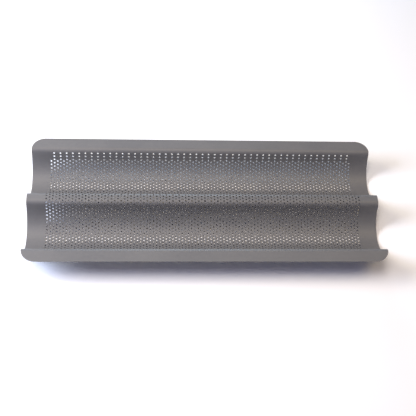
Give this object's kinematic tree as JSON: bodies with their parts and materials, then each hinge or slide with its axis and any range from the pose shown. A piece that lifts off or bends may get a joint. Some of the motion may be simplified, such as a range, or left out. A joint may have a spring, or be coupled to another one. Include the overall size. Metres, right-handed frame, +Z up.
{
  "type": "baguette tray",
  "caption": "Perforated metal baguette tray: long open channels side by side with a rounded ridge between them and flat flanges with rounded corners.",
  "frame": {"origin": "under the tray's centre, at the height of the channels' lowest points, where it rests", "axes": "+X along the channels, +Y towards the rear flange, +Z up out of the channels"},
  "size_m": [0.382, 0.1632, 0.0287],
  "materials": {
    "coated_steel": "semi-matte grey non-stick coating on pressed, perforated steel sheet"
  },
  "bodies": {
    "root": {"rear_flange": "coated_steel", "rear_channel": "coated_steel", "middle_ridge": "coated_steel", "front_channel": "coated_steel", "front_flange": "coated_steel"}
  },
  "joints": []
}
